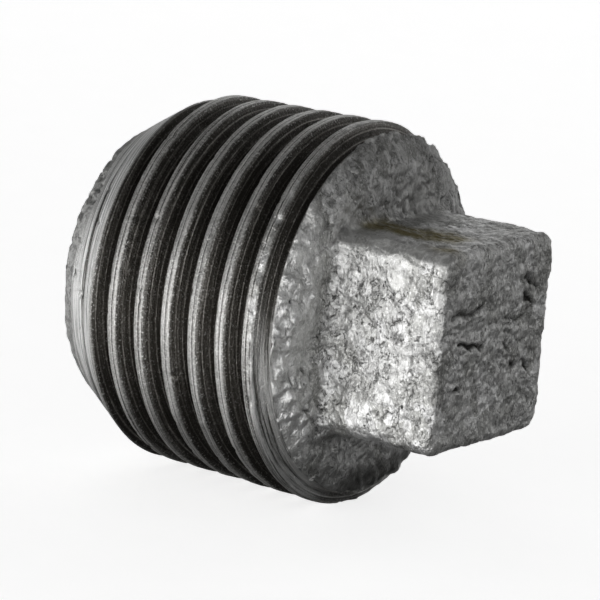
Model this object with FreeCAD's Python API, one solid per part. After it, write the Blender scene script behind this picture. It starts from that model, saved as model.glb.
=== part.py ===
"""Square-head pipe plug, R 1/2, for closing a female pipe thread.

One galvanised malleable-iron casting.  The row frame has its origin on the axis at the centre of
the threaded end, +X along the axis towards the square head, and +Z up, square to one wrench flat.
All lengths are in millimetres and all angles in degrees.
"""
import FreeCAD, Part
import os
from math import atan, cos, degrees, radians, sin, tan

from FreeCAD import Placement, Rotation, Vector

# Taper pipe thread, 55 degree form, cut along the cone
THREADS_PER_INCH = 14
PITCH = 25.4 / THREADS_PER_INCH
TAPER_ON_DIAMETER = 1 / 16
GAUGE_DIAMETER = 20.955          # major diameter at the gauge plane
GAUGE_LENGTH = 8.16              # gauge plane, measured from the threaded end
FLANK_ANGLE = 27.5               # half of the included angle
THREAD_DEPTH = 0.640327 * PITCH
ROOT_RADIUS = 0.137329 * PITCH
CREST_AT_MINUS_Y = 5.2           # X of one crest where the thread passes the -Y side
CUTTER_CLEARANCE = 0.2           # the groove's cutter reaches this far above the crests
RUN_OUT_BEYOND_SHOULDER = 0.6    # and its helix this far past the shoulder face

# Threaded end
RIM_RADIUS = 7.75                # where the lead chamfer would meet the end face
CHAMFER_SLOPE = 0.65             # radial rise of the lead chamfer for each mm along X
RIM_ROUNDING = 0.7

# Shoulder and square head
SHOULDER_FACE_X = 16.3
SHOULDER_ROUNDING = 2.8
HEAD_END_X = 23.4
ACROSS_FLATS = 11.2
HEAD_EDGE_ROUNDING = 0.8
HEAD_ROOT_FILLET = 0.6

# Cored hollow, open at the threaded end
CORE_MOUTH_RADIUS = 6.2
CORE_DRAFT = 2.0
CORE_DEPTH = 12.5
CORE_END_ROUNDING = 2.5
CORE_MOUTH_ROUNDING = 0.5

SAME_PLACE = 0.01                # edges are found by position to within this

AXIS = Vector(1, 0, 0)
ORIGIN = Vector(0, 0, 0)
# Turns a shape built about +Z so that its axis is +X, its old X is +Y and its old Y is +Z
Z_AXIS_TO_X_AXIS = Placement(ORIGIN, Rotation(Vector(1, 1, 1), 120))


def crest_radius(x):
    """Radius of the thread's major cone at x."""
    return (GAUGE_DIAMETER + TAPER_ON_DIAMETER * (x - GAUGE_LENGTH)) / 2


def revolve(points):
    """Solid of revolution about the X axis from (x, radius) points."""
    outline = Part.makePolygon([Vector(x, 0, radius) for x, radius in points + points[:1]])
    return Part.Face(outline).revolve(ORIGIN, AXIS, 360)


def circle_edges(shape, x, radius):
    """Round edges about the X axis at the given x and radius."""
    found = []
    for edge in shape.Edges:
        if edge.Degenerated or not isinstance(edge.Curve, Part.Circle):
            continue
        curve = edge.Curve
        if abs(curve.Radius - radius) < SAME_PLACE and abs(curve.Center.x - x) < SAME_PLACE:
            found.append(edge)
    return found


def make_body_blank():
    """Turned outline of the body before threading: lead chamfer, taper and rounded shoulder."""
    chamfer_end_x = (crest_radius(0) - RIM_RADIUS) / (CHAMFER_SLOPE - TAPER_ON_DIAMETER / 2)
    shoulder_radius = crest_radius(SHOULDER_FACE_X)
    blank = revolve([
        (0, 0),
        (0, RIM_RADIUS),
        (chamfer_end_x, crest_radius(chamfer_end_x)),
        (SHOULDER_FACE_X, shoulder_radius),
        (SHOULDER_FACE_X, 0),
    ])
    blank = blank.makeFillet(SHOULDER_ROUNDING, circle_edges(blank, SHOULDER_FACE_X, shoulder_radius))
    return blank.makeFillet(RIM_ROUNDING, circle_edges(blank, 0, RIM_RADIUS))


def make_head():
    """Square wrench head, run back into the body so that the two fuse."""
    start_x = SHOULDER_FACE_X - SHOULDER_ROUNDING
    half = ACROSS_FLATS / 2
    head = Part.makeBox(
        HEAD_END_X - start_x, ACROSS_FLATS, ACROSS_FLATS, Vector(start_x, -half, -half)
    )
    rounded = [edge for edge in head.Edges if edge.CenterOfMass.x > start_x + SAME_PLACE]
    return head.makeFillet(HEAD_EDGE_ROUNDING, rounded)


def fillet_head_root(solid):
    """Blend between the shoulder face and the square head."""
    reach = ACROSS_FLATS / 2 + SAME_PLACE
    root = []
    for edge in solid.Edges:
        box = edge.BoundBox
        off_plane = max(abs(box.XMin - SHOULDER_FACE_X), abs(box.XMax - SHOULDER_FACE_X))
        if off_plane < SAME_PLACE and max(-box.YMin, box.YMax, -box.ZMin, box.ZMax) < reach:
            root.append(edge)
    return solid.makeFillet(HEAD_ROOT_FILLET, root)


def make_core():
    """Drafted core that leaves the hollow."""
    end_radius = CORE_MOUTH_RADIUS - CORE_DEPTH * tan(radians(CORE_DRAFT))
    core = Part.makeCone(CORE_MOUTH_RADIUS, end_radius, CORE_DEPTH, ORIGIN, AXIS)
    return core.makeFillet(CORE_END_ROUNDING, circle_edges(core, CORE_DEPTH, end_radius))


def groove_section(radius):
    """Closed section of the groove in the local XZ plane, with the crests at the given radius.

    A round root runs tangent into straight flanks, which reach above the crests.
    """
    tangent_half_width = ROOT_RADIUS * cos(radians(FLANK_ANGLE))
    tangent_depth = THREAD_DEPTH - ROOT_RADIUS * (1 - sin(radians(FLANK_ANGLE)))
    top_half_width = tangent_half_width + (tangent_depth + CUTTER_CLEARANCE) * tan(radians(FLANK_ANGLE))
    root = Vector(radius - THREAD_DEPTH, 0, 0)
    low_tangent = Vector(radius - tangent_depth, 0, -tangent_half_width)
    high_tangent = Vector(radius - tangent_depth, 0, tangent_half_width)
    low_top = Vector(radius + CUTTER_CLEARANCE, 0, -top_half_width)
    high_top = Vector(radius + CUTTER_CLEARANCE, 0, top_half_width)
    return Part.Wire([
        Part.LineSegment(low_top, low_tangent).toShape(),
        Part.Arc(low_tangent, root, high_tangent).toShape(),
        Part.LineSegment(high_tangent, high_top).toShape(),
        Part.LineSegment(high_top, low_top).toShape(),
    ])


def make_thread_groove():
    """Right-hand groove along the cone, from clear of the lead chamfer to clear of the shoulder."""
    # The groove is half a pitch from a crest, and -Y is half a turn from the helix's start on +Y
    start_x = CREST_AT_MINUS_Y - 2 * PITCH
    height = SHOULDER_FACE_X + RUN_OUT_BEYOND_SHOULDER - start_x
    start_radius = crest_radius(start_x)
    spine = Part.makeHelix(PITCH, height, start_radius, degrees(atan(TAPER_ON_DIAMETER / 2)))
    sweep = Part.BRepOffsetAPI.MakePipeShell(Part.Wire(spine.Edges))
    sweep.setFrenetMode(True)
    sweep.add(groove_section(start_radius))
    sweep.build()
    sweep.makeSolid()
    groove = sweep.shape()
    groove.Placement = Placement(Vector(start_x, 0, 0), Rotation()).multiply(Z_AXIS_TO_X_AXIS)
    return groove


def make_plug():
    """Square-head plug as one casting with its thread cut."""
    plug = make_body_blank().fuse(make_head()).removeSplitter()
    plug = fillet_head_root(plug)
    plug = plug.cut(make_core())
    plug = plug.makeFillet(CORE_MOUTH_ROUNDING, circle_edges(plug, 0, CORE_MOUTH_RADIUS))
    return plug.cut(make_thread_groove())


os.makedirs("parts", exist_ok=True)
plug = make_plug()
print("valid", plug.isValid(), "solids", len(plug.Solids), "volume %.1f mm3" % plug.Volume)
plug.exportStep("parts/square_head_plug.step")
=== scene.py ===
from math import atan, cos, hypot, pi, radians, sin, tan

import bpy
import numpy as np
from mathutils import Matrix, Vector, noise


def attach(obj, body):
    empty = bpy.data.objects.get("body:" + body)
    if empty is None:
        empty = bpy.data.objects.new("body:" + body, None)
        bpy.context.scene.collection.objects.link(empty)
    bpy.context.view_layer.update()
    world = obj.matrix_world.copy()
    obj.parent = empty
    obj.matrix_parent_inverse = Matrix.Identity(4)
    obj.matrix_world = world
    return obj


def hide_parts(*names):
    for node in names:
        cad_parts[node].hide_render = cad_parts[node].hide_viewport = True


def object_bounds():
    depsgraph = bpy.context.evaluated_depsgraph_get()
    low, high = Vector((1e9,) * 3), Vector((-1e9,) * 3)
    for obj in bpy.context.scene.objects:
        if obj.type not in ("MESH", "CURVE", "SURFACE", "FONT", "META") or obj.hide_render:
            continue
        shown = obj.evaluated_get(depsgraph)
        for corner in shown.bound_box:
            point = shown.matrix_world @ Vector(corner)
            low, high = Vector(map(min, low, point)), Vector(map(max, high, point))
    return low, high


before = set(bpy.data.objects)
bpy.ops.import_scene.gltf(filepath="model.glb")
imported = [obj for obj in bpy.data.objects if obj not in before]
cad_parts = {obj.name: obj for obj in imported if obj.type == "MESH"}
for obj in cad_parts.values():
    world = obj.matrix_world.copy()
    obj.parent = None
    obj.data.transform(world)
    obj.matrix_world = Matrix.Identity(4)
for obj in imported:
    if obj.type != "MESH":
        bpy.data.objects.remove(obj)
cad_low, cad_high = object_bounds()

# The casting is built in millimetres and turned into Blender's metres at the end.  Its axis is X, angles
# around it run from +Y towards +Z, and the head points along +X.
MM = 0.001
NOISE_SEED = 7                   # noise_vector differs from run to run without one

# Thread, 55 degree taper pipe form
PITCH = 25.4 / 14
TAPER = 1 / 32                   # rise of the radius for each mm along X
GAUGE_RADIUS = 20.955 / 2        # of the crests, at the gauge plane
GAUGE_X = 8.16
FLANK_SLOPE = 1 / tan(radians(27.5))
THREAD_DEPTH = 0.640327 * PITCH
CREST_AT_MINUS_Y = 5.2           # X of one crest where the thread passes the -Y side
CREST_HALF_WIDTH = 0.27          # the crests are cut flat
CREST_SOFTNESS = 0.045           # rounding of the thread's corners
# Rows of the mesh across half a thread, from the middle of the crest; the root's own row follows
HALF_THREAD_ROWS = (0.13, 0.23, 0.30, 0.38, 0.50, 0.64, 0.79)

# Threaded end
RIM_RADIUS = 7.75
CHAMFER_SLOPE = 0.65
RIM_ROUNDING = 0.7
FIRST_CUT_X = 1.2                # the lathe tool first meets the casting here
CUT_EDGE = 0.08                  # half the width of the change from cast skin to cut metal

# Shoulder
SHOULDER_X = 16.3
SHOULDER_ROUNDING = 2.8
RAGGEDNESS = 0.14                # unevenness of the edge where the last groove breaks out
RAGGED_X = (13.5, 15.0)          # where that starts, and where it is full
TORN_LIP = 0.13                  # height of the zinc raised along that edge
LIP_X = (14.2, 14.8)
LIP_GAP = 0.24                   # the lip is highest where the tool passes this far above the casting
LIP_REACH = 0.22
SHOULDER_SAG = 0.36              # the mould halves are out of line: the shoulder hangs low by this

# Square head
HEAD_END_X = 23.4
HEAD_HALF = 5.65
HEAD_CORNER = 1.0
HEAD_ROOT_FILLET = 0.7
HEAD_END_ROUNDING = 0.6

# Rough cast skin: heights and depths of its features
DOME_HEIGHT = 0.16
LUMP_HEIGHT = 0.10
GRAIN_HEIGHT = 0.11
CREVICE_DEPTH = 0.24
SEAM_DEPTH = 0.05
HEAD_SHARE = 0.7                 # the domes, lumps and grain are lower on the head and at the rim
RIM_SHARE = 0.5
SKIN_EDGE = 0.5                  # the shoulder's skin reaches this far up the head

# Black crevices on the end face, as lines through (across, up) places
END_FACE_CREVICES = (
    ((-4.3, 2.0), (-3.4, 2.0), (-2.1, 2.1), (-1.4, 2.4)),
    ((1.2, 1.3), (1.9, 1.1), (2.8, 1.1)),
    ((2.8, 2.2), (3.3, 2.3), (4.0, 1.7), (3.4, 1.6)),
    ((2.8, 3.4), (3.5, 3.2), (4.1, 2.4)),
    ((1.9, -1.3), (2.4, -1.5), (3.1, -1.4), (4.1, -1.8)),
    ((-3.4, 0.4), (-1.8, 0.0), (-1.1, 0.1)),
    ((1.2, -0.2), (1.8, -0.4)),
    ((-3.7, -2.1), (-3.2, -2.2)),
)
# Pitted places on the left of the shoulder: across, up and reach
SHOULDER_CREVICES = (
    (-8.9, 1.9, 1.1), (-9.7, 0.2, 1.3), (-7.9, -2.3, 1.6), (-6.6, 0.1, 0.9), (-6.4, -4.0, 1.2),
)

# Smooth grey zinc at the head's root and front edge: x, y, z and reach
CALM_PLACES = (
    (16.4, 2.0, 6.2, 2.8), (16.6, -4.6, 5.4, 1.8), (18.6, -4.8, 5.6, 1.7), (21.0, -5.1, 5.4, 1.5),
    (20.4, -5.6, 3.8, 0.8), (22.8, -5.4, 5.4, 1.0),
)

# Cored hollow
CORE_RADIUS = 6.2
CORE_DRAFT = tan(radians(2))
CORE_DEPTH = 12.5
CORE_END_ROUNDING = 2.5
CORE_MOUTH_ROUNDING = 0.5

# Mesh
COLUMNS = 360                    # points around the plug
CORE_COLUMNS = COLUMNS // 2      # and around its hollow
THREAD_START_X = 2.0             # rows follow the helix from here
THREAD_END_X = 15.95             # to here
CORE_FLOOR_RINGS = 9
CORE_CORNER_RINGS = 10
CORE_WALL_RINGS = 26
MOUTH_RINGS = 4
RIM_FLAT_RINGS = 3
RIM_ROUNDING_RINGS = 5
CHAMFER_RINGS = 10
SHOULDER_ROUNDING_RINGS = 11
SHOULDER_FACE_RINGS = 14
ROOT_FILLET_RINGS = 6
HEAD_SIDE_RINGS = 38
HEAD_END_RINGS = 8

# Softboxes: name, azimuth, elevation, distance, width, height, radiance.  The low ones stand for the
# light that a pale table throws up, because the floor here is seen by the camera only.
SOFTBOXES = (
    ("key_front_left", -20, -10, 0.40, 0.52, 0.42, 2.3),
    ("key_left", -98, -10, 0.40, 0.10, 0.36, 2.6),
    ("front_right", 50, -6, 0.50, 0.30, 0.40, 2.25),
    ("back_left", -148, 14, 0.50, 0.30, 0.20, 0.92),
    ("back_right", 147, 4, 0.60, 0.50, 0.25, 0.7),
    ("right", 100, 12, 0.50, 0.30, 0.30, 0.3),
    ("back_low", -168, -12, 0.50, 0.30, 0.30, 0.7),
    ("back_high", 167, 34, 0.50, 0.24, 0.20, 0.8),
    ("overhead_left", -110, 60, 0.50, 0.40, 0.30, 0.35),
)
FLOOR_HALF = 20.0

# Camera, in degrees and metres: it looks past a point on the plug's axis
CAMERA_AZIMUTH = 32.51
CAMERA_ELEVATION = 12.60
CAMERA_ROLL = 5.34
CAMERA_DISTANCE = 0.344
CAMERA_RIGHT_OF_AXIS = 0.0047    # in the picture's own directions
CAMERA_ABOVE_AXIS = -0.00117
AXIS_POINT = Vector((0.005, 0, 0))
LENS = 369.2
SENSOR = 36.0

AROUND = np.arange(COLUMNS) * 2 * pi / COLUMNS


def smooth_step(low, high, value):
    """0 below low, 1 above high, smooth between."""
    t = np.clip((value - low) / (high - low), 0, 1)
    return t * t * (3 - 2 * t)


def smooth_share(low, high, value):
    """As smooth_step, for one plain number."""
    t = min(1.0, max(0.0, (value - low) / (high - low)))
    return t * t * (3 - 2 * t)


def smooth_min(a, b, reach):
    """Lower of two values, blended over about reach."""
    gap = np.clip(0.5 + 0.5 * (b - a) / reach, 0, 1)
    return b + (a - b) * gap - reach * gap * (1 - gap)


def wander(angle, size, seed, waves=2.0):
    """Noise that closes on itself around the axis, up to about size either way."""
    values = [
        noise.fractal(Vector((waves * cos(a), waves * sin(a), seed)), 0.8, 2.0, 5) for a in angle
    ]
    return size * np.array(values)


def crest_radius(x):
    """Radius of the thread's major cone."""
    return GAUGE_RADIUS + TAPER * (x - GAUGE_X)


def crest_distance(offset):
    """Axial distance to the middle of the nearest crest."""
    return np.abs((offset + PITCH / 2) % PITCH - PITCH / 2)


def groove_depth(offset):
    """Depth of the thread below its crest, at an axial offset from a crest's middle."""
    flank = FLANK_SLOPE * (crest_distance(offset) - CREST_HALF_WIDTH)
    above_root = smooth_min(flank, np.full_like(flank, THREAD_DEPTH), 2 * CREST_SOFTNESS)
    return -smooth_min(-above_root, np.zeros_like(flank), 2 * CREST_SOFTNESS)


def blank_radius(x):
    """Outline of the body before threading: rim, lead chamfer, cone and rounded shoulder."""
    chamfer = RIM_RADIUS + CHAMFER_SLOPE * x
    cone = crest_radius(x)
    centre_x = SHOULDER_X - SHOULDER_ROUNDING
    centre_r = crest_radius(SHOULDER_X) - SHOULDER_ROUNDING
    past = np.clip(x - centre_x, 0, SHOULDER_ROUNDING)
    rounded = centre_r + np.sqrt(SHOULDER_ROUNDING**2 - past**2)
    return smooth_min(smooth_min(chamfer, cone, 0.1), np.where(x > centre_x, rounded, cone + 1), 0.02)


class Skin:
    """Vertices, faces and per-vertex marks of the casting, built ring by ring.

    cut is 1 on cut metal and 0 on cast skin, turn is the angle along the helix from the middle of a
    crest, oil is 1 in the grooves, and lip is 1 where the torn edge stands highest.
    """

    def __init__(self):
        self.points = []
        self.faces = []
        self.cut = []
        self.turn = []
        self.oil = []
        self.lip = []

    def add(self, x, radius, angle, cut=0.0, lip=0.0):
        """Adds points given along the axis, out from it and around it; returns their numbers."""
        x, radius, angle, cut, lip = np.broadcast_arrays(x, radius, angle, cut, lip)
        first = len(self.points)
        self.points.extend(zip(x, radius * np.cos(angle), radius * np.sin(angle)))
        self.cut.extend(cut)
        self.lip.extend(lip)
        self.turn.extend(2 * pi * ((x - CREST_AT_MINUS_Y) / PITCH + 0.5) - angle)
        depth = blank_radius(x) - radius
        self.oil.extend(np.where(radius > RIM_RADIUS, smooth_step(0.02, 0.16, depth), 0.0))
        return list(range(first, len(self.points)))

    def band(self, lower, upper):
        """Quads between two closed rings of the same count."""
        count = len(lower)
        for k in range(count):
            n = (k + 1) % count
            self.faces.append((lower[k], lower[n], upper[n], upper[k]))

    def halve(self, fine, coarse):
        """Triangles from a ring to one with half as many points, further along the skin."""
        count = len(coarse)
        for k in range(count):
            n = (k + 1) % count
            middle = fine[2 * k + 1]
            self.faces.append((fine[2 * k], coarse[k], middle))
            self.faces.append((coarse[k], coarse[n], middle))
            self.faces.append((coarse[n], fine[(2 * k + 2) % len(fine)], middle))


def arc(centre_x, centre_r, radius, start, end, steps):
    """(x, r) points along an arc; angles in degrees, 0 along +X and 90 outward."""
    angles = np.radians(np.linspace(start, end, steps + 1))
    return [(centre_x + radius * cos(a), centre_r + radius * sin(a)) for a in angles]


def line(start, end, steps):
    """(x, r) points from start to end, without start."""
    return [
        (start[0] + (end[0] - start[0]) * k / steps, start[1] + (end[1] - start[1]) * k / steps)
        for k in range(1, steps + 1)
    ]


def first_cut(angle):
    """X where the cut metal begins, around the rim."""
    return FIRST_CUT_X + wander(angle, 0.5, 3.1, waves=1.4)


def ragged(x, angle):
    """Unevenness of the cast shoulder where the last groove breaks out through it."""
    values = [
        noise.fractal(Vector((1.3 * px, 11 * cos(a), 11 * sin(a))), 0.7, 2.0, 4)
        for px, a in zip(x, angle)
    ]
    return RAGGEDNESS * np.array(values)


def shoulder_sag(angle):
    """How far the cast shoulder hangs out of round, most at the bottom."""
    return SHOULDER_SAG * 0.5 * (1 - np.sin(angle)) * np.where(np.sin(angle) < 0, 1.0, 0.6)


def build_hollow(skin):
    """Cored hollow from its closed end out to the mouth; returns the ring before the mouth's edge."""
    angle = AROUND[::2]
    end_radius = CORE_RADIUS - CORE_DEPTH * CORE_DRAFT
    flat_radius = end_radius - CORE_END_ROUNDING
    corner_x = CORE_DEPTH - CORE_END_ROUNDING
    mouth = (CORE_MOUTH_ROUNDING, CORE_RADIUS - CORE_MOUTH_ROUNDING * CORE_DRAFT)
    profile = line((CORE_DEPTH, 0), (CORE_DEPTH, flat_radius), CORE_FLOOR_RINGS)
    profile += arc(corner_x, flat_radius, CORE_END_ROUNDING, 0, 90, CORE_CORNER_RINGS)[1:]
    profile += line(profile[-1], mouth, CORE_WALL_RINGS)
    centre = skin.add([CORE_DEPTH], [0.0], [0.0])[0]
    rings = [skin.add(x, r, angle) for x, r in profile]
    for k in range(CORE_COLUMNS):
        skin.faces.append((centre, rings[0][(k + 1) % CORE_COLUMNS], rings[0][k]))
    for lower, upper in zip(rings, rings[1:]):
        skin.band(lower, upper)
    return rings[-1]


def build_rim(skin, hollow_ring):
    """Mouth edge, end face, rounded rim and the start of the lead chamfer."""
    mouth_middle = CORE_RADIUS + CORE_MOUTH_ROUNDING
    mouth = arc(CORE_MOUTH_ROUNDING, mouth_middle, CORE_MOUTH_ROUNDING, 270, 180, MOUTH_RINGS)
    chamfer_angle = atan(CHAMFER_SLOPE)
    reach = RIM_ROUNDING * tan((pi / 2 - chamfer_angle) / 2)
    rim_end = 90 + np.degrees(chamfer_angle)
    rim = arc(RIM_ROUNDING, RIM_RADIUS - reach, RIM_ROUNDING, 180, rim_end, RIM_ROUNDING_RINGS)
    thread_start = (THREAD_START_X, RIM_RADIUS + CHAMFER_SLOPE * THREAD_START_X)
    profile = mouth[1:] + line(mouth[-1], rim[0], RIM_FLAT_RINGS)[:-1] + rim
    profile += line(rim[-1], thread_start, CHAMFER_RINGS)
    start = first_cut(AROUND)
    rings = []
    for x, r in profile:
        outside = 1.0 if r > RIM_RADIUS else 0.0
        rings.append(skin.add(x, r, AROUND, outside * smooth_step(start - CUT_EDGE, start + CUT_EDGE, x)))
    skin.halve(rings[0], hollow_ring)
    for lower, upper in zip(rings, rings[1:]):
        skin.band(lower, upper)
    return rings[-1]


def build_thread(skin, start_ring):
    """Rows that follow the helix, so that every crest and flank is one clean line."""
    offsets = [-d for d in reversed(HALF_THREAD_ROWS)] + [0.0] + list(HALF_THREAD_ROWS) + [PITCH / 2]
    per_turn = len(offsets)
    crest_at_zero = CREST_AT_MINUS_Y - PITCH / 2
    first_turn = int((THREAD_START_X - crest_at_zero) // PITCH) - 2
    last_turn = int((THREAD_END_X - crest_at_zero) // PITCH) + 1
    row_x = np.array([
        crest_at_zero + turn * PITCH + offset
        for turn in range(first_turn, last_turn + 1) for offset in offsets
    ])
    snap = 0.05                  # points closer than this to the end rings join them
    first = first_cut(AROUND)
    sag = shoulder_sag(AROUND)
    torn = np.clip(0.5 + wander(AROUND, 1.1, 5.5, waves=9.0), 0, 1)

    def section(x, column, offset):
        """Radius, share of cut metal and height of the torn lip; the tool cuts only what it meets."""
        cast = blank_radius(x) + (sag[column] + ragged(x, AROUND[column])) * smooth_step(*RAGGED_X, x)
        thread = crest_radius(x) - groove_depth(offset)
        spare = cast - thread
        turned = np.where(x < GAUGE_X, 1.0, smooth_step(-0.05, 0.02, spare))
        cut = turned * smooth_step(first[column] - CUT_EDGE, first[column] + CUT_EDGE, x)
        lip = torn[column] * np.exp(-((spare + LIP_GAP) / LIP_REACH)**2) * smooth_step(*LIP_X, x)
        return smooth_min(cast + TORN_LIP * lip, thread, 0.04), cut, lip

    end_x = np.full(COLUMNS, THREAD_END_X)
    columns = np.arange(COLUMNS)
    end_offset = end_x - crest_at_zero - PITCH * columns / COLUMNS
    end_radius, end_cut, end_lip = section(end_x, columns, end_offset)
    end_ring = skin.add(end_x, end_radius, AROUND, end_cut, end_lip)

    grid = []
    for row in row_x:
        x = row + PITCH * columns / COLUMNS
        radius, cut, lip = section(x, columns, np.full(COLUMNS, row - crest_at_zero))
        inside = (x > THREAD_START_X + snap) & (x < THREAD_END_X - snap)
        numbers = np.where(x <= THREAD_START_X + snap, start_ring, end_ring)
        numbers[inside] = skin.add(
            x[inside], radius[inside], AROUND[inside], cut[inside], lip[inside]
        )
        grid.append(numbers)
    for i in range(len(grid) - 1):
        for j in range(COLUMNS):
            if j + 1 < COLUMNS:
                corners = (grid[i][j], grid[i][j + 1], grid[i + 1][j + 1], grid[i + 1][j])
            elif i + 1 + per_turn < len(grid):
                after = i + per_turn
                corners = (grid[i][j], grid[after][0], grid[after + 1][0], grid[i + 1][j])
            else:
                continue
            kept = [c for k, c in enumerate(corners) if c != corners[k - 1]]
            if len(set(kept)) >= 3:
                skin.faces.append(tuple(int(c) for c in kept))
    return end_ring


def square_radius(angle, half, corner):
    """Distance from the axis to a rounded square, in each direction around."""
    a = np.abs((angle + pi / 4) % (pi / 2) - pi / 4)
    flat = half / np.cos(a)
    centre = half - corner
    along = centre * (np.cos(a) + np.sin(a))
    across = centre * (np.cos(a) - np.sin(a))
    rounded = along + np.sqrt(np.maximum(corner**2 - across**2, 0))
    return np.where(half * np.tan(a) <= centre, flat, rounded)


def build_shoulder(skin, end_ring):
    """Rest of the shoulder's rounding, its face and the fillet at the head's root."""
    sag = shoulder_sag(AROUND)
    centre_x = SHOULDER_X - SHOULDER_ROUNDING
    centre_r = crest_radius(SHOULDER_X) - SHOULDER_ROUNDING
    start = np.degrees(np.arccos((THREAD_END_X - centre_x) / SHOULDER_ROUNDING))
    rings = [end_ring]
    face_sag = 0.3               # share of the sag left at the edge of the shoulder's face
    for x, r in arc(centre_x, centre_r, SHOULDER_ROUNDING, start, 0, SHOULDER_ROUNDING_RINGS)[1:]:
        share = (r - centre_r) / SHOULDER_ROUNDING
        rings.append(skin.add(x, r + sag * (face_sag + (1 - face_sag) * share), AROUND))
    face_edge = centre_r + sag * face_sag
    root = square_radius(AROUND, HEAD_HALF + HEAD_ROOT_FILLET, HEAD_CORNER + HEAD_ROOT_FILLET)
    root_edge = np.minimum(root, face_edge - 0.05)
    for k in range(1, SHOULDER_FACE_RINGS + 1):
        share = k / SHOULDER_FACE_RINGS
        rings.append(skin.add(SHOULDER_X, face_edge + (root_edge - face_edge) * share, AROUND))
    for k in range(1, ROOT_FILLET_RINGS + 1):
        turn = k / ROOT_FILLET_RINGS * pi / 2
        out = HEAD_ROOT_FILLET * (1 - sin(turn))
        x = SHOULDER_X + HEAD_ROOT_FILLET * (1 - cos(turn))
        radius = square_radius(AROUND, HEAD_HALF + out, HEAD_CORNER + out)
        rings.append(skin.add(x, np.minimum(radius, root_edge), AROUND))
    for lower, upper in zip(rings, rings[1:]):
        skin.band(lower, upper)
    return rings[-1]


def build_head(skin, root_ring):
    """Sides of the square head, its rounded end edges and the end face."""
    side_start = SHOULDER_X + HEAD_ROOT_FILLET
    side_end = HEAD_END_X - HEAD_END_ROUNDING
    rings = [root_ring]
    for x, _ in line((side_start, 0), (side_end, 0), HEAD_SIDE_RINGS):
        rings.append(skin.add(x, square_radius(AROUND, HEAD_HALF, HEAD_CORNER), AROUND))
    for k in range(1, HEAD_END_RINGS + 1):
        turn = k / HEAD_END_RINGS * pi / 2
        inset = HEAD_END_ROUNDING * (1 - cos(turn))
        x = side_end + HEAD_END_ROUNDING * sin(turn)
        radius = square_radius(AROUND, HEAD_HALF - inset, HEAD_CORNER - inset * 0.9)
        rings.append(skin.add(x, radius, AROUND))
    for lower, upper in zip(rings, rings[1:]):
        skin.band(lower, upper)
    build_end_face(skin, rings[-1])


def build_end_face(skin, ring):
    """Grid across the square end, joined to its four edges."""
    side = COLUMNS // 4
    shift = side // 2
    loop = [ring[(k - shift) % COLUMNS] for k in range(COLUMNS)]
    edge = np.array([skin.points[k] for k in loop])[:, 1:]
    right = edge[0:side + 1]
    top = edge[side:2 * side + 1][::-1]
    left = edge[2 * side:3 * side + 1][::-1]
    bottom = np.vstack([edge[3 * side:], edge[:1]])
    grid = np.empty((side + 1, side + 1), dtype=int)
    for k in range(side + 1):
        grid[side, k] = loop[k]
        grid[k, side] = loop[2 * side - k]
        grid[0, k] = loop[3 * side - k]
        grid[k, 0] = loop[(3 * side + k) % COLUMNS]
    for i in range(1, side):
        u = i / side
        for j in range(1, side):
            v = j / side
            ruled = (1 - u) * left[j] + u * right[j] + (1 - v) * bottom[i] + v * top[i]
            corners = (1 - u) * ((1 - v) * left[0] + v * left[side])
            corners = corners + u * ((1 - v) * right[0] + v * right[side])
            y, z = ruled - corners
            grid[i, j] = len(skin.points)
            skin.points.append((HEAD_END_X, y, z))
            for mark in (skin.cut, skin.turn, skin.oil, skin.lip):
                mark.append(0.0)
    for i in range(side):
        for j in range(side):
            corners = (grid[i, j], grid[i + 1, j], grid[i + 1, j + 1], grid[i, j + 1])
            skin.faces.append(tuple(int(corner) for corner in corners))


def vertex_normals(points, triangles):
    """Area-weighted normals."""
    a, b, c = (points[triangles[:, k]] for k in range(3))
    across = np.cross(b - a, c - a)
    normals = np.zeros_like(points)
    for k in range(3):
        np.add.at(normals, triangles[:, k], across)
    return normals / np.maximum(np.linalg.norm(normals, axis=1, keepdims=True), 1e-12)


def nearness(y, z, places):
    """1 at the middle of any of the given (y, z, reach) places, falling to 0 at its reach."""
    return max(max(0.0, 1 - ((y - py)**2 + 4 * (z - pz)**2) / reach**2) for py, pz, reach in places)


def end_face_crevice(place):
    """Depth, 0 to 1, of the torn black crevices on the end face."""
    torn = place + 0.30 * noise.noise_vector(place * 1.7)
    gap = 9.0
    for crevice in END_FACE_CREVICES:
        for (y0, z0), (y1, z1) in zip(crevice, crevice[1:]):
            along_y, along_z = y1 - y0, z1 - z0
            share = (torn.y - y0) * along_y + (torn.z - z0) * along_z
            share = min(1.0, max(0.0, share / (along_y**2 + along_z**2)))
            gap = min(gap, hypot(torn.y - y0 - share * along_y, torn.z - z0 - share * along_z))
    width = 0.13 + 0.10 * noise.noise(place * 1.3)
    return min(1.0, max(0.0, 1.4 - gap / width)) * (0.85 + 0.6 * noise.noise(place * 2.3))


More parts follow.
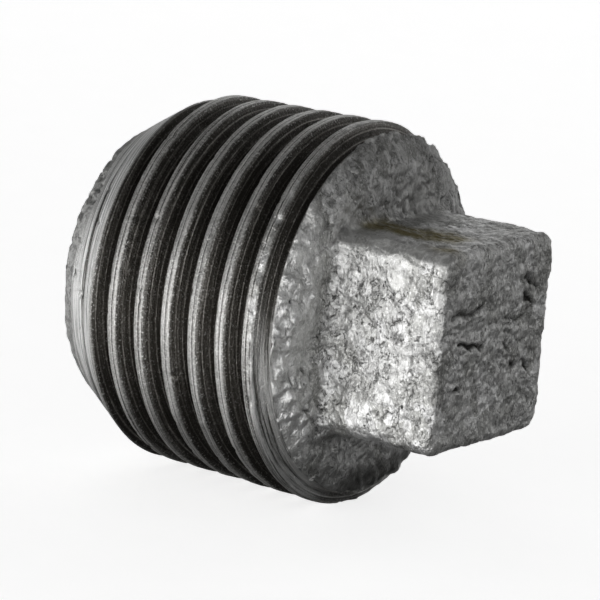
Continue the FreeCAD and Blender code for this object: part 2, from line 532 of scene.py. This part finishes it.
def cast_relief(place):
    """Height of the rough cast skin, and how deep the black crevices are."""
    warped = place + 0.35 * noise.noise_vector(place * 0.9)
    near, next_near = noise.voronoi(warped * 0.8)[0][:2]
    dome = DOME_HEIGHT * (0.45 - near)
    lump = LUMP_HEIGHT * noise.fractal(place * 0.42, 0.9, 2.0, 3)
    grain = GRAIN_HEIGHT * (noise.turbulence(place * 1.5, 4, False) - 0.5)
    crack = abs(noise.noise(warped * 1.15 + Vector((3, 9, 5)))) + 0.10 * abs(noise.noise(place * 5.0))
    chance = 0.25 + 1.6 * noise.noise(place * 0.33 + Vector((5, 1, 8)))
    if place.x > GAUGE_X:
        chance *= 0.35
    if GAUGE_X < place.x < SHOULDER_X + SKIN_EDGE:
        chance = max(chance, 1.2 * nearness(place.y, place.z, SHOULDER_CREVICES))
    crevice = max(0.0, min(1.0, 1.2 - crack / 0.13)) * max(0.0, min(1.0, chance))
    if place.x > HEAD_END_X - 0.3:
        crevice = max(crevice, end_face_crevice(place))
    seam = max(0.0, 1 - (next_near - near) / 0.10) * max(0.0, min(1.0, 0.3 + chance))
    share = HEAD_SHARE if place.x > SHOULDER_X + SKIN_EDGE else 1.0
    share = RIM_SHARE if place.x < GAUGE_X else share * (1 - 0.4 * calmness(place))
    if SHOULDER_X - 2 < place.x < SHOULDER_X + SKIN_EDGE:
        share += 0.8 * smooth_share(-5.5, -8.0, place.y)
    height = share * (dome + lump + grain) - CREVICE_DEPTH * crevice - SEAM_DEPTH * seam
    return height, max(crevice, 0.5 * seam)


def calmness(place):
    """1 at the middle of any of the places where the zinc lies smooth, falling to 0 at its reach."""
    gaps = ((place - Vector(middle)).length / reach for *middle, reach in CALM_PLACES)
    return max(max(0.0, 1 - gap**2) for gap in gaps)


def calm_share(points):
    """How evenly grey the zinc is: most in the smooth places, and a little on all of the head."""
    calm = np.array([calmness(Vector(p)) for p in points])
    return np.maximum(calm, 0.1 * smooth_step(SHOULDER_X + 0.6, SHOULDER_X + 1.2, points[:, 0]))


def painted_light_and_shade_map(points):
    """Painted light and shade on the zinc: above 0 darkens it, on the rim and as painted shade on most of
    the shoulder, most at its foot; below 0 lightens it as painted light, on the shoulder's left.
    """
    x, y, z = points.T
    right = smooth_step(-7.5, -3.0, y)
    foot = 1.1 * smooth_step(-7.5, -9.0, z) * smooth_step(-3.5, -1.0, y)
    left = smooth_step(-6.0, -7.5, y)
    off_head = 1 - smooth_step(SHOULDER_X + 0.1, SHOULDER_X + SKIN_EDGE, x)
    return np.where(x > GAUGE_X, (right + foot - left) * off_head, 0.85)


def cut_relief(place):
    """Chatter along the thread, with a few nicks and torn spots."""
    chatter = 0.012 * noise.noise(Vector((place.x * 3.0, place.y * 0.5, place.z * 0.5)))
    nick = max(0.0, noise.noise(place * 1.9 + Vector((2, 4, 6))) - 0.50)
    return chatter - 0.5 * nick


def painted_light_on_last_flank(points):
    """Painted light on the last flank: at the left and lower left, where the groove breaks out."""
    x, y, z = points.T
    return smooth_step(14.35, 14.65, x) * smooth_step(-1.5, -5.5, y) * smooth_step(3.0, -3.5, z)


def stain(points):
    """Brown stain that lies in streaks along the top of the head, from its root."""
    x, y, z = points.T
    top = smooth_step(4.6, 5.2, z) * smooth_step(16.1, 16.7, x) * (1 - smooth_step(5.7, 6.3, z))
    band = np.exp(-((y + 2.1 - 0.2 * (x - 18.0)) / 1.3)**4) * (1 - smooth_step(21.2, 22.4, x))
    spot = np.exp(-((y + 4.15) / 0.55)**2 - ((x - 22.2) / 0.8)**2)
    return top * np.maximum(band, spot)


def relief(points, cut):
    """Height of the surface's roughness, and how deep each crevice is."""
    height = np.zeros(len(points))
    pits = np.zeros(len(points))
    for k, point in enumerate(points):
        place = Vector(point)
        if cut[k] < 1:
            rough, pit = cast_relief(place)
            height[k] += (1 - cut[k]) * rough
            pits[k] = (1 - cut[k]) * pit
        if cut[k] > 0:
            height[k] += cut[k] * cut_relief(place)
    return height, pits


def make_casting():
    """The whole plug as one closed mesh."""
    skin = Skin()
    ring = build_hollow(skin)
    ring = build_rim(skin, ring)
    ring = build_thread(skin, ring)
    ring = build_shoulder(skin, ring)
    build_head(skin, ring)
    points = np.array(skin.points)
    cut = np.array(skin.cut)
    oil = np.array(skin.oil)
    triangles = [f[:3] for f in skin.faces] + [(f[0], f[2], f[3]) for f in skin.faces if len(f) == 4]
    height, pits = relief(points, cut)
    points = points + vertex_normals(points, np.array(triangles)) * height[:, None]
    mesh = bpy.data.meshes.new("plug_casting")
    mesh.from_pydata([tuple(p * MM) for p in points], [], skin.faces)
    mesh.validate()
    polish_and_painted_light = cut * (1 - smooth_step(3.2, 3.6, points[:, 0])) * (1 - oil)
    marks = {
        "cut": cut,
        "pit": pits,
        "turn_cos": np.cos(skin.turn),
        "turn_sin": np.sin(skin.turn),
        "oil": oil,
        "lip": skin.lip,
        # The chamfer's polish, and painted light on the last flank at the left and lower left
        "polish_and_painted_light": np.maximum(polish_and_painted_light, 0.72 * painted_light_on_last_flank(points)),
        "stain": stain(points),
        "calm": calm_share(points),
        # painted light and shade on the zinc
        "painted_light_and_shade": painted_light_and_shade_map(points),
    }
    for name, values in marks.items():
        mark = mesh.attributes.new(name, "FLOAT", "POINT")
        mark.data.foreach_set("value", np.asarray(values, dtype=np.float32))
    mesh.shade_smooth()
    casting = bpy.data.objects.new("plug_casting", mesh)
    bpy.context.scene.collection.objects.link(casting)
    return casting


class Nodes:
    """Short calls for building the node tree of a material or the world."""

    def __init__(self, owner):
        owner.use_nodes = True
        self.tree = owner.node_tree
        self.tree.nodes.clear()

    def add(self, kind, inputs=None, **settings):
        """Adds a node; inputs are sockets to link or values to set."""
        node = self.tree.nodes.new(kind)
        for name, value in settings.items():
            setattr(node, name, value)
        for name, value in (inputs or {}).items():
            if isinstance(value, bpy.types.NodeSocket):
                self.tree.links.new(value, node.inputs[name])
            else:
                node.inputs[name].default_value = value
        return node

    def place(self):
        """Position on the object, in metres."""
        return self.add("ShaderNodeTexCoord").outputs["Object"]

    def mark(self, name):
        """One of the mesh's own marks."""
        return self.add("ShaderNodeAttribute", attribute_name=name).outputs["Fac"]

    def maths(self, operation, a, b):
        return self.add("ShaderNodeMath", {0: a, 1: b}, operation=operation).outputs[0]

    def scaled(self, place, scale):
        """Position with each axis scaled by its own amount."""
        return self.add("ShaderNodeMapping", {"Vector": place, "Scale": scale}).outputs["Vector"]

    def shifted(self, place, by, amount):
        """Position moved by a vector times an amount."""
        shift = self.add("ShaderNodeVectorMath", {0: by, 1: (amount,) * 3}, operation="MULTIPLY")
        moved = self.add("ShaderNodeVectorMath", {0: place, 1: shift.outputs[0]}, operation="ADD")
        return moved.outputs[0]

    def noise(self, place, scale, detail, roughness=0.5, distortion=0.0, output="Fac"):
        """Noise texture, as grey or as the vector in its colour."""
        return self.add("ShaderNodeTexNoise", {
            "Vector": place, "Scale": scale, "Detail": detail,
            "Roughness": roughness, "Distortion": distortion,
        }).outputs[output]

    def cells(self, place, scale):
        """Voronoi cells: the distance from each middle, and a node that splits each cell's colour."""
        node = self.add("ShaderNodeTexVoronoi", {"Vector": place, "Scale": scale, "Randomness": 1.0})
        colour = self.add("ShaderNodeSeparateColor", {"Color": node.outputs["Color"]})
        return node.outputs["Distance"], colour

    def cell_edges(self, place, scale):
        """Distance to the nearest edge between Voronoi cells."""
        return self.add("ShaderNodeTexVoronoi", {
            "Vector": place, "Scale": scale, "Randomness": 1.0,
        }, feature="DISTANCE_TO_EDGE").outputs["Distance"]

    def ramp(self, value, *stops):
        """Colour ramp through grey levels or colours at the given places."""
        node = self.add("ShaderNodeValToRGB", {"Fac": value})
        ramp = node.color_ramp
        while len(ramp.elements) < len(stops):
            ramp.elements.new(0.5)
        for element, (place, colour) in zip(ramp.elements, stops):
            element.position = place
            colour = (colour,) * 3 if isinstance(colour, (int, float)) else colour
            element.color = (*colour, 1)
        return node.outputs["Color"]

    def mix(self, share, a, b, kind="RGBA"):
        """Mix of two colours, or of two vectors, each a socket or a plain colour."""
        node = self.add("ShaderNodeMix", {"Factor": share}, data_type=kind)
        for name, value in (("A", a), ("B", b)):
            socket = [s for s in node.inputs if s.name == name and s.type == kind][0]
            if isinstance(value, bpy.types.NodeSocket):
                self.tree.links.new(value, socket)
            else:
                socket.default_value = (*value, 1)
        return [s for s in node.outputs if s.type == kind][0]

    def principled(self, inputs):
        """Ends a material with the Principled shader."""
        shader = self.add("ShaderNodeBsdfPrincipled", inputs)
        self.add("ShaderNodeOutputMaterial", {"Surface": shader.outputs[0]})


def galvanised_material():
    """Zinc-coated cast skin, and the dark oily thread cut through it."""
    material = bpy.data.materials.new("galvanised_iron")
    n = Nodes(material)
    cut = n.mark("cut")
    zinc_colour, zinc_roughness, zinc_normal = zinc_skin(n)
    cut_colour, cut_roughness, cut_normal = cut_metal(n)
    n.principled({
        "Base Color": n.mix(cut, zinc_colour, cut_colour),
        "Roughness": n.mix(cut, zinc_roughness, cut_roughness),
        "Metallic": 0.9,
        "Normal": n.mix(cut, zinc_normal, cut_normal, kind="VECTOR"),
    })
    return material


def zinc_skin(n):
    """Crinkled grey zinc: bright and dark flakes, veins and hairlines, black crevices, brown stain."""
    place = n.place()
    calm = n.mark("calm")
    painted_light_and_shade = n.mark("painted_light_and_shade")
    drips = n.scaled(place, (1000.0, 1000.0, 780.0))
    warped = n.shifted(drips, n.noise(drips, 1.8, 4.0, output="Color"), 0.9)
    flakes, flake_colour = n.cells(warped, 3.2)
    _, plate_colour = n.cells(warped, 0.95)
    flake_grey = flake_colour.outputs["Red"]
    plate_grey = plate_colour.outputs["Green"]
    cloud = n.noise(place, 380.0, 5.0, roughness=0.6)
    grain = n.noise(drips, 3.6, 5.0, roughness=0.62, distortion=0.8)
    veins = n.noise(warped, 2.2, 3.0, distortion=0.3)
    fine = n.noise(drips, 8.0, 2.0)

    colour = n.ramp(cloud, (0.36, (0.48, 0.48, 0.47)), (0.64, (0.70, 0.70, 0.69)))
    colour = n.mix(n.ramp(plate_grey, (0.0, 0.68), (0.5, 0.0)), colour, (0.22, 0.22, 0.20))
    colour = n.mix(n.ramp(plate_grey, (0.6, 0.0), (1.0, 0.68)), colour, (0.86, 0.86, 0.86))
    colour = n.mix(n.ramp(flake_grey, (0.0, 0.25), (0.6, 0.0)), colour, (0.24, 0.24, 0.235))
    colour = n.mix(n.ramp(grain, (0.38, 0.50), (0.50, 0.0)), colour, (0.16, 0.16, 0.15))
    colour = n.mix(n.ramp(grain, (0.54, 0.0), (0.66, 0.5)), colour, (0.82, 0.82, 0.81))
    colour = n.mix(n.ramp(veins, (0.30, 0.7), (0.42, 0.0)), colour, (0.14, 0.14, 0.135))

    crack = n.ramp(n.cell_edges(warped, 1.7), (0.0, 1.0), (0.04, 0.0))
    crack = n.maths("MULTIPLY", crack, n.ramp(cloud, (0.40, 0.8), (0.46, 0.0)))
    colour = n.mix(crack, colour, (0.06, 0.06, 0.055))
    hairline = zinc_hairlines(n, drips, grain)
    colour = n.mix(hairline, colour, (0.08, 0.08, 0.075))
    dot = zinc_dots(n, drips)
    colour = n.mix(dot, colour, (0.04, 0.04, 0.035))
    net = n.ramp(n.cell_edges(warped, 3.2), (0.0, 0.6), (0.08, 0.0))
    net = n.maths("MULTIPLY", net, n.ramp(veins, (0.42, 1.0), (0.60, 0.1)))
    colour = n.mix(net, colour, (0.16, 0.16, 0.155))
    colour = n.mix(n.ramp(fine, (0.56, 0.0), (0.70, 0.7)), colour, (0.85, 0.85, 0.84))

    colour = n.mix(n.maths("MULTIPLY", calm, 0.6), colour, (0.60, 0.60, 0.585))
    # Painted shade: darker zinc on the rim and most of the shoulder, most at its foot; painted light:
    # lighter zinc on the shoulder's left
    colour = n.mix(n.maths("MULTIPLY", painted_light_and_shade, 0.46), colour, (0.10, 0.10, 0.095))
    colour = n.mix(n.maths("MULTIPLY", painted_light_and_shade, -0.40), colour, (0.92, 0.92, 0.91))
    colour = n.mix(n.ramp(n.mark("lip"), (0.2, 0.0), (0.8, 0.8)), colour, (0.80, 0.80, 0.78))
    colour = n.mix(n.ramp(n.mark("pit"), (0.15, 0.0), (0.8, 0.95)), colour, (0.02, 0.02, 0.017))
    streak = n.noise(n.scaled(place, (350.0, 2200.0, 2200.0)), 1.0, 5.0)
    smear = n.maths("MULTIPLY", n.mark("stain"), n.ramp(streak, (0.38, 0.45), (0.47, 0.95)))
    colour = n.mix(smear, colour, (0.17, 0.14, 0.040))
    roughness = n.ramp(veins, (0.38, 0.56), (0.58, 0.40))

    height = n.maths("ADD", n.maths("MULTIPLY", flakes, -0.35), veins)
    height = n.maths("ADD", height, n.maths("MULTIPLY", fine, 0.10))
    height = n.maths("SUBTRACT", height, n.maths("MULTIPLY", crack, 0.2))
    height = n.maths("SUBTRACT", height, n.maths("MULTIPLY", n.maths("ADD", hairline, dot), 0.35))
    strength = n.maths("SUBTRACT", 0.9, n.maths("MULTIPLY", calm, 0.65))
    bump = n.add("ShaderNodeBump", {"Height": height, "Strength": strength, "Distance": 0.00011})
    return colour, roughness, bump.outputs[0]


def zinc_hairlines(n, drips, grain):
    """Broken dark hairlines around large crooked cells."""
    bend = n.noise(drips, 0.7, 6.0, roughness=0.62, output="Color")
    edges = n.cell_edges(n.shifted(drips, bend, 3.2), 0.75)
    lines = n.ramp(edges, (0.012, 0.85), (0.045, 0.0))
    return n.maths("MULTIPLY", lines, n.ramp(grain, (0.40, 1.0), (0.53, 0.12)))


def zinc_dots(n, drips):
    """Small black pinholes in about one cell in five."""
    distance, colour = n.cells(drips, 1.25)
    chosen = n.ramp(colour.outputs["Blue"], (0.76, 0.0), (0.82, 0.9))
    return n.maths("MULTIPLY", n.ramp(distance, (0.06, 1.0), (0.12, 0.0)), chosen)


def cut_metal(n):
    """Turned metal: bright worn crests, black oil in the grooves, fine tool marks along the thread."""
    place = n.place()
    turn_cos = n.mark("turn_cos")
    turn_sin = n.mark("turn_sin")
    # 0.5 on the middle of a crest, running to 1 towards the head
    turn = n.maths("MULTIPLY", n.maths("ARCTAN2", turn_sin, turn_cos), 0.5 / pi)
    turn = n.maths("ADD", turn, 0.5)
    lines = tool_lines(n, place, turn_cos, turn_sin)
    specks = n.noise(place, 8500.0, 2.0)
    tool = n.ramp(
        turn, (0.0, 0.42), (0.44, 0.62), (0.475, 0.68), (0.50, 0.30), (0.53, 0.62), (0.60, 0.66),
        (0.68, 0.46), (0.745, 0.36), (0.765, 0.66), (0.785, 0.36), (0.86, 0.36), (0.88, 0.64),
        (0.90, 0.36),
    )
    marks = n.maths("ADD", lines, n.maths("MULTIPLY", n.maths("SUBTRACT", tool, 0.5), 0.75))
    marks = n.maths("ADD", marks, n.maths("MULTIPLY", n.maths("SUBTRACT", specks, 0.5), 0.30))

    crest = n.ramp(
        marks, (0.40, (0.065, 0.062, 0.057)), (0.53, (0.31, 0.305, 0.29)), (0.68, (0.76, 0.75, 0.73)),
    )
    groove = n.ramp(
        marks, (0.40, (0.058, 0.054, 0.047)), (0.56, (0.19, 0.18, 0.165)), (0.70, (0.52, 0.50, 0.47)),
    )
    polish_and_painted_light_colour = n.ramp(lines, (0.42, (0.15, 0.15, 0.14)), (0.54, (0.90, 0.90, 0.89)))
    colour = n.mix(n.mark("oil"), crest, groove)
    # Bright polished colour on the chamfer, and the same colour as painted light on the last flank at the
    # left and lower left
    colour = n.mix(n.mark("polish_and_painted_light"), colour, polish_and_painted_light_colour)
    rough_side = n.ramp(turn, (0.30, 0.2), (0.45, 0.6), (0.66, 1.0), (0.74, 0.2))
    speckle = n.maths("MULTIPLY", n.ramp(specks, (0.62, 0.0), (0.68, 0.8)), rough_side)
    colour = n.mix(speckle, colour, (0.75, 0.75, 0.74))
    roughness = n.ramp(lines, (0.35, 0.26), (0.65, 0.48))
    height = n.maths("ADD", marks, n.maths("MULTIPLY", specks, 0.3))
    bump = n.add("ShaderNodeBump", {"Height": height, "Strength": 1.0, "Distance": 0.00008})
    return colour, roughness, bump.outputs[0]


def tool_lines(n, place, turn_cos, turn_sin):
    """Noise that is stretched along the helix and fine across it."""
    axes = n.add("ShaderNodeSeparateXYZ", {"Vector": place}).outputs
    along = n.add("ShaderNodeCombineXYZ", {
        "X": n.maths("MULTIPLY", turn_cos, 2.2),
        "Y": n.maths("MULTIPLY", turn_sin, 2.2),
        "Z": n.maths("MULTIPLY", axes["Z"], 130.0),
    }).outputs[0]
    sweep = n.maths("MULTIPLY", axes["X"], 420.0)
    sweep = n.maths("ADD", sweep, n.maths("MULTIPLY", axes["Y"], 90.0))
    return n.add("ShaderNodeTexNoise", {
        "Vector": along, "W": sweep, "Scale": 1.0, "Detail": 5.0, "Roughness": 0.85,
    }, noise_dimensions="4D").outputs["Fac"]


def make_floor(low):
    """Plain pale floor under the lowest point, seen by the camera but not by the metal."""
    corners = [(x * FLOOR_HALF, y * FLOOR_HALF, low.z) for x, y in ((-1, -1), (1, -1), (1, 1), (-1, 1))]
    mesh = bpy.data.meshes.new("floor")
    mesh.from_pydata(corners, [], [(0, 1, 2, 3)])
    floor = bpy.data.objects.new("floor", mesh)
    bpy.context.scene.collection.objects.link(floor)
    material = bpy.data.materials.new("pale_floor")
    n = Nodes(material)
    n.principled({
        "Base Color": n.ramp(n.noise(n.place(), 400.0, 3.0), (0.3, 0.80), (0.7, 0.84)),
        "Roughness": 0.9,
        "Emission Color": (1, 1, 1, 1),
        "Emission Strength": 0.75,
    })
    mesh.materials.append(material)
    floor.visible_glossy = False
    floor.visible_diffuse = False
    floor.visible_shadow = False


def direction(azimuth, elevation):
    """Unit vector towards a place round the object; azimuth 0 is -Y and 90 is +X, in degrees."""
    a, e = radians(azimuth), radians(elevation)
    return Vector((sin(a) * cos(e), -cos(a) * cos(e), sin(e)))


def add_softbox(target, name, azimuth, elevation, distance, width, height, radiance):
    """Rectangular soft light facing the target; radiance is what a mirror would show of it."""
    light = bpy.data.lights.new(name, "AREA")
    light.shape = "RECTANGLE"
    light.size = width
    light.size_y = height
    light.energy = radiance * pi * width * height
    box = bpy.data.objects.new(name, light)
    towards = direction(azimuth, elevation)
    box.location = target + towards * distance
    box.rotation_mode = "QUATERNION"
    box.rotation_quaternion = (-towards).to_track_quat("-Z", "Y")
    box.visible_camera = False
    bpy.context.scene.collection.objects.link(box)


def make_world():
    """White to the camera; to the metal it is dim, and dimmer below."""
    world = bpy.data.worlds.new("studio")
    n = Nodes(world)
    around = n.add("ShaderNodeTexCoord").outputs["Generated"]
    up = n.add("ShaderNodeSeparateXYZ", {"Vector": around}).outputs["Z"]
    sky = n.ramp(n.maths("ADD", n.maths("MULTIPLY", up, 0.5), 0.5), (0.25, 0.03), (0.6, 0.10))
    seen = n.add("ShaderNodeLightPath").outputs["Is Camera Ray"]
    colour = n.mix(seen, sky, (1.0, 1.0, 1.0))
    background = n.add("ShaderNodeBackground", {"Color": colour, "Strength": 1.0})
    n.add("ShaderNodeOutputWorld", {"Surface": background.outputs[0]})
    bpy.context.scene.world = world


def make_camera():
    """Camera at its angle round the object, rolled a little."""
    back = direction(CAMERA_AZIMUTH, CAMERA_ELEVATION)
    level_right = Vector((cos(radians(CAMERA_AZIMUTH)), sin(radians(CAMERA_AZIMUTH)), 0))
    level_up = back.cross(level_right)
    roll = radians(CAMERA_ROLL)
    right = level_right * cos(roll) + level_up * sin(roll)
    up = level_up * cos(roll) - level_right * sin(roll)
    data = bpy.data.cameras.new("camera")
    data.lens = LENS
    data.sensor_width = SENSOR
    data.clip_start = 0.01
    data.clip_end = 100
    camera = bpy.data.objects.new("camera", data)
    place = AXIS_POINT + back * CAMERA_DISTANCE + right * CAMERA_RIGHT_OF_AXIS + up * CAMERA_ABOVE_AXIS
    turn = Matrix((right, up, back)).transposed().to_4x4()
    camera.matrix_world = Matrix.Translation(place) @ turn
    bpy.context.scene.collection.objects.link(camera)
    bpy.context.scene.camera = camera


noise.seed_set(NOISE_SEED)
make_camera()
for softbox in SOFTBOXES:
    add_softbox((cad_low + cad_high) / 2, *softbox)
make_world()
make_floor(cad_low)
casting = make_casting()
casting.data.materials.append(galvanised_material())
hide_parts("square_head_plug")
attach(casting, "root")
bpy.context.scene.view_settings.view_transform = "Standard"
